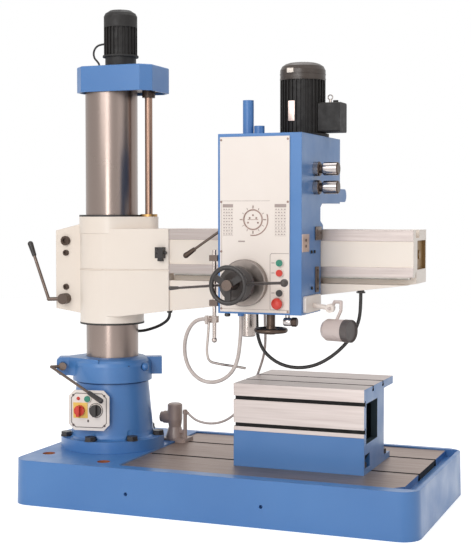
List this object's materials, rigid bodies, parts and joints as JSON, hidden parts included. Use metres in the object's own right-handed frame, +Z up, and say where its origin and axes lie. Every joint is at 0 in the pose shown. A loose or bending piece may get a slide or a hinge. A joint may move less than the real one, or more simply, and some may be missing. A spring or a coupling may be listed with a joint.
{
  "type": "radial arm drill",
  "caption": "Radial arm drilling machine: ribbed base with box table, round column, lifting arm and a travelling drilling head with quill, handwheels, levers, motors and work lamp.",
  "frame": {"origin": "on the floor under the column's axis, in the plane of the base's underside", "axes": "+X along the arm away from the column, +Y to the back of the machine, +Z up"},
  "size_m": [1.7105, 0.928, 1.926],
  "materials": {
    "casting_blue": "semi-gloss machine enamel",
    "arm_cream": "semi-gloss machine enamel",
    "ground_iron": "ground flat, light oil film",
    "bright_steel": "ground and polished",
    "dark_steel": "blackened",
    "gear_steel": "machined",
    "bronze": "machined",
    "chrome": "polished",
    "motor_black": "matt black paint",
    "panel_white": "satin lacquered plate",
    "button_green": "moulded",
    "button_red": "moulded",
    "black_plastic": "moulded",
    "cable_rubber": "matt sheath",
    "hose_grey": "translucent grey hose",
    "pump_grey": "cast",
    "lamp_grey": "satin enamel"
  },
  "bodies": {
    "base": {"base_casting": "casting_blue", "pedestal": "casting_blue", "fixing_bolts": "dark_steel", "thrust_bearing": "gear_steel", "clamp_ring": "casting_blue", "switch_box": "casting_blue", "switch_panel": "panel_white", "box_table": "ground_iron", "pump_unit": "pump_grey", "pump_hose": "hose_grey"},
    "column": {"column": "bright_steel", "top_cap": "casting_blue", "cap_plate": "dark_steel", "lift_motor": "motor_black", "lift_motor_cable": "cable_rubber"},
    "arm": {"arm_casting": "arm_cream", "sleeve_wipers": "cable_rubber", "lift_nut": "bronze", "sleeve_bolts": "dark_steel", "traverse_rack": "gear_steel", "arm_end_cover": "dark_steel", "limit_switch": "black_plastic", "cable_glands": "black_plastic", "arm_cable": "cable_rubber"},
    "head": {"head_casting": "casting_blue", "front_panel": "panel_white", "way_keepers": "ground_iron", "main_motor": "motor_black", "main_motor_cowl": "motor_black", "spindle_cover": "casting_blue", "coolant_rod": "bright_steel", "coolant_hose": "hose_grey", "supply_hose": "hose_grey", "head_cable": "cable_rubber", "lamp_bracket": "panel_white"},
    "ring_lever": {"ring_lever": "bright_steel", "ring_lever_grip": "black_plastic"},
    "isolator_knob": {"isolator_knob": "button_red"},
    "selector_knob": {"selector_knob": "black_plastic"},
    "start_button": {"start_button": "button_green"},
    "lift_gear": {"lift_gear": "gear_steel"},
    "lead_screw": {"lead_screw": "bright_steel"},
    "arm_lever": {"arm_lever": "bright_steel", "arm_lever_grip": "black_plastic"},
    "motor_pinion": {"motor_pinion": "gear_steel"},
    "lay_gears": {"lay_gears": "gear_steel"},
    "spindle_gear": {"spindle_gear": "gear_steel"},
    "quill": {"quill": "bright_steel"},
    "spindle": {"spindle": "bright_steel"},
    "feed_hub": {"feed_hub": "dark_steel"},
    "handwheel": {"handwheel": "black_plastic"},
    "fine_feed_wheel": {"fine_feed_wheel": "dark_steel"},
    "lock_lever": {"lock_lever": "bright_steel"},
    "upper_speed_knob": {"upper_speed_knob": "chrome"},
    "lower_speed_knob": {"lower_speed_knob": "chrome"},
    "green_button": {"green_button": "button_green"},
    "red_button": {"red_button": "button_red"},
    "black_button": {"black_button": "black_plastic"},
    "stop_mushroom": {"stop_mushroom": "button_red"},
    "work_lamp": {"work_lamp": "lamp_grey"}
  },
  "joints": [
    {"name": "column_swing", "type": "hinge", "parent": "base", "child": "column", "pos_m": [0, 0, 0.2], "axis": [0, 0, 1], "range_deg": [-180, 180]},
    {"name": "arm_lift", "type": "slide", "parent": "column", "child": "arm", "axis": [0, 0, 1], "range_m": [-0.08, 0.46]},
    {"name": "head_traverse", "type": "slide", "parent": "arm", "child": "head", "axis": [1, 0, 0], "range_m": [-0.28, 0.34], "deforming": ["head_cable", "supply_hose"]},
    {"name": "lead_screw_spin", "type": "hinge", "parent": "column", "child": "lead_screw", "pos_m": [0.166, 0, 1.3], "axis": [0, 0, 1], "continuous": true},
    {"name": "lift_gear_spin", "type": "hinge", "parent": "column", "child": "lift_gear", "pos_m": [0.04225, 0, 1.64], "axis": [0, 0, 1], "continuous": true},
    {"name": "motor_spin", "type": "hinge", "parent": "head", "child": "motor_pinion", "pos_m": [0.8146, 0, 1.31], "axis": [0, 0, 1], "continuous": true},
    {"name": "lay_spin", "type": "hinge", "parent": "head", "child": "lay_gears", "pos_m": [0.77087, -0.11443, 1.24], "axis": [0, 0, 1], "continuous": true},
    {"name": "spindle_gear_spin", "type": "hinge", "parent": "head", "child": "spindle_gear", "pos_m": [0.65, -0.15, 1.235], "axis": [0, 0, 1], "continuous": true},
    {"name": "quill_feed", "type": "slide", "parent": "head", "child": "quill", "axis": [0, 0, -1], "range_m": [0, 0.16]},
    {"name": "spindle_spin", "type": "hinge", "parent": "quill", "child": "spindle", "pos_m": [0.65, -0.15, 0.7], "axis": [0, 0, 1], "continuous": true},
    {"name": "feed_lever_turn", "type": "hinge", "parent": "head", "child": "feed_hub", "pos_m": [0.702, -0.4, 0.864], "axis": [0, 1, 0], "range_deg": [-345, 5]},
    {"name": "handwheel_turn", "type": "hinge", "parent": "head", "child": "handwheel", "pos_m": [0.702, -0.486, 0.864], "axis": [0, 1, 0], "continuous": true},
    {"name": "fine_feed_turn", "type": "hinge", "parent": "head", "child": "fine_feed_wheel", "pos_m": [0.7766, -0.251, 0.69], "axis": [0, 0, 1], "continuous": true},
    {"name": "lock_lever_turn", "type": "hinge", "parent": "head", "child": "lock_lever", "pos_m": [0.566, -0.15, 1.064], "axis": [0, 1, 0], "range_deg": [-20, 30]},
    {"name": "upper_speed_turn", "type": "hinge", "parent": "head", "child": "upper_speed_knob", "pos_m": [0.912, -0.155, 1.277], "axis": [1, 0, 0], "range_deg": [-120, 120]},
    {"name": "lower_speed_turn", "type": "hinge", "parent": "head", "child": "lower_speed_knob", "pos_m": [0.912, -0.155, 1.21], "axis": [1, 0, 0], "range_deg": [-120, 120]},
    {"name": "green_press", "type": "slide", "parent": "head", "child": "green_button", "axis": [0, 1, 0], "range_m": [0, 0.004], "stiffness_N_per_m": 400},
    {"name": "red_press", "type": "slide", "parent": "head", "child": "red_button", "axis": [0, 1, 0], "range_m": [0, 0.004], "stiffness_N_per_m": 400},
    {"name": "black_press", "type": "slide", "parent": "head", "child": "black_button", "axis": [0, 1, 0], "range_m": [0, 0.004], "stiffness_N_per_m": 400},
    {"name": "stop_press", "type": "slide", "parent": "head", "child": "stop_mushroom", "axis": [0, 1, 0], "range_m": [0, 0.004], "stiffness_N_per_m": 400},
    {"name": "lamp_tilt", "type": "hinge", "parent": "head", "child": "work_lamp", "pos_m": [0.987, -0.2, 0.771], "axis": [0, 1, 0], "range_deg": [-25, 40]},
    {"name": "arm_clamp_turn", "type": "hinge", "parent": "arm", "child": "arm_lever", "pos_m": [-0.19, -0.06, 0.766], "axis": [0, 1, 0], "range_deg": [-25, 25]},
    {"name": "ring_clamp_turn", "type": "hinge", "parent": "base", "child": "ring_lever", "pos_m": [-0.15472, -0.13624, 0.5], "axis": [-0.4591, 0.8884, 0], "range_deg": [-20, 15]},
    {"name": "isolator_turn", "type": "hinge", "parent": "base", "child": "isolator_knob", "pos_m": [-0.04187, -0.19811, 0.338], "axis": [-0.1442, 0.9896, 0], "range_deg": [0, 90]},
    {"name": "selector_turn", "type": "hinge", "parent": "base", "child": "selector_knob", "pos_m": [0.02344, -0.18859, 0.34], "axis": [-0.1442, 0.9896, 0], "range_deg": [-45, 45]},
    {"name": "start_press", "type": "slide", "parent": "base", "child": "start_button", "axis": [-0.1442, 0.9896, 0], "range_m": [0, 0.004], "stiffness_N_per_m": 400}
  ],
  "couplings": [
    {"joint": "lead_screw_spin", "follows": "arm_lift", "rad_per_m": -1047.2},
    {"joint": "lift_gear_spin", "follows": "arm_lift", "rad_per_m": 523.6},
    {"joint": "lay_spin", "follows": "motor_spin", "ratio": -0.4},
    {"joint": "spindle_gear_spin", "follows": "motor_spin", "ratio": 0.8},
    {"joint": "spindle_spin", "follows": "motor_spin", "ratio": 0.8},
    {"joint": "feed_lever_turn", "follows": "quill_feed", "rad_per_m": -37.037},
    {"joint": "handwheel_turn", "follows": "head_traverse", "rad_per_m": -100}
  ]
}
